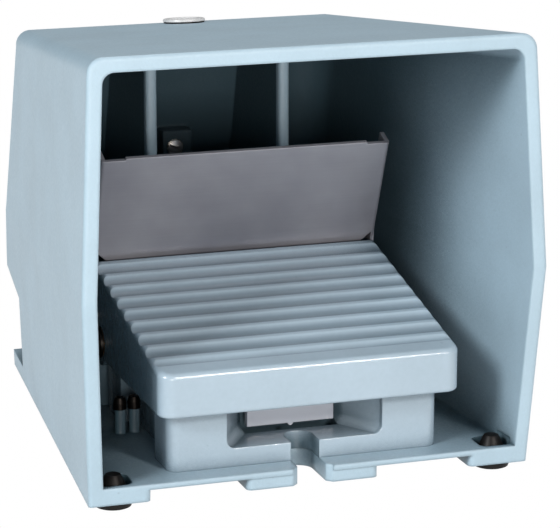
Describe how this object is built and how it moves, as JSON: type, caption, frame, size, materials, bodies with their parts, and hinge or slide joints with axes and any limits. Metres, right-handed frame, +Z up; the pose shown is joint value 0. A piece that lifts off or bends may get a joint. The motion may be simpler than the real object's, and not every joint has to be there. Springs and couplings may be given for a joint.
{
  "type": "industrial foot switch",
  "caption": "Guarded industrial foot switch: cast hood over a ribbed pedal, with a hinged toe flap that latches it, on rubber feet.",
  "frame": {"origin": "centre of the overall outline, on the ground under the rubber feet", "axes": "+X right as seen from the open front, +Y to the back, +Z up"},
  "size_m": [0.1598, 0.1826, 0.1509],
  "materials": {
    "hood_paint": "fine textured grey-blue enamel on a casting",
    "housing_paint": "satin grey-blue enamel",
    "pedal_paint": "satin grey-blue enamel",
    "black_rubber": "moulded black rubber",
    "plug_plastic": "pale moulded plastic",
    "zinc_steel": "zinc plated",
    "dark_steel": "blackened",
    "lid_plastic": "moulded",
    "block_plastic": "moulded",
    "terminal_brass": "turned",
    "plunger_plastic": "moulded acetal",
    "spring_steel": "drawn wire",
    "bush_bronze": "sintered bronze",
    "shaft_steel": "ground steel",
    "stainless_sheet": "brushed stainless sheet",
    "nickel_brass": "nickel-plated brass"
  },
  "bodies": {
    "base": {"hood": "hood_paint", "housing": "housing_paint", "rubber_feet": "black_rubber", "roof_plug": "plug_plastic", "roof_plug_ring": "black_rubber", "earth_screw": "zinc_steel", "earth_washer": "zinc_steel", "post_screws": "dark_steel", "housing_screws": "zinc_steel", "lid_gasket": "black_rubber", "chamber_lid": "lid_plastic", "lid_screws": "zinc_steel", "plunger_seals": "black_rubber", "contact_rail": "zinc_steel", "rail_screws": "zinc_steel", "contact_block_nc": "block_plastic", "contact_block_no": "block_plastic", "terminal_screws": "terminal_brass", "plunger_spring_nc": "spring_steel", "plunger_spring_no": "spring_steel", "pedal_shaft": "shaft_steel", "shaft_rings": "dark_steel", "pedal_springs": "spring_steel", "flap_axle": "shaft_steel", "flap_rings": "dark_steel", "flap_springs": "spring_steel", "gland_body": "nickel_brass", "gland_washer": "zinc_steel", "gland_insert": "black_rubber", "gland_cap": "nickel_brass"},
    "pedal": {"pedal": "pedal_paint", "pedal_bushes": "bush_bronze", "adjuster_screws": "zinc_steel", "adjuster_nuts": "zinc_steel", "pedal_catch": "zinc_steel", "catch_screws": "zinc_steel"},
    "flap": {"flap": "stainless_sheet", "latch_pawl": "stainless_sheet"},
    "plunger_nc_body": {"plunger_nc": "plunger_plastic"},
    "plunger_no_body": {"plunger_no": "plunger_plastic"}
  },
  "joints": [
    {"name": "pedal_hinge", "type": "hinge", "parent": "base", "child": "pedal", "pos_m": [0, -0.00825, 0.0361], "axis": [1, 0, 0], "range_deg": [0, 6], "stiffness_Nm_per_rad": 5, "springref_deg": -6.88, "deforming": ["pedal_springs"]},
    {"name": "flap_hinge", "type": "hinge", "parent": "base", "child": "flap", "pos_m": [0, 0.01075, 0.0406], "axis": [-1, 0, 0], "range_deg": [0, 20], "stiffness_Nm_per_rad": 1, "springref_deg": -8.59, "deforming": ["flap_springs"]},
    {"name": "plunger_nc_slide", "type": "slide", "parent": "base", "child": "plunger_nc_body", "axis": [0, 0, -1], "range_m": [0, 0.0032], "stiffness_N_per_m": 600, "springref_m": -0.002, "deforming": ["plunger_spring_nc"]},
    {"name": "plunger_no_slide", "type": "slide", "parent": "base", "child": "plunger_no_body", "axis": [0, 0, -1], "range_m": [0, 0.0032], "stiffness_N_per_m": 600, "springref_m": -0.002, "deforming": ["plunger_spring_no"]}
  ],
  "couplings": [
    {"joint": "plunger_nc_slide", "follows": "pedal_hinge", "m_per_rad": 0.0285},
    {"joint": "plunger_no_slide", "follows": "pedal_hinge", "m_per_rad": 0.0285}
  ]
}
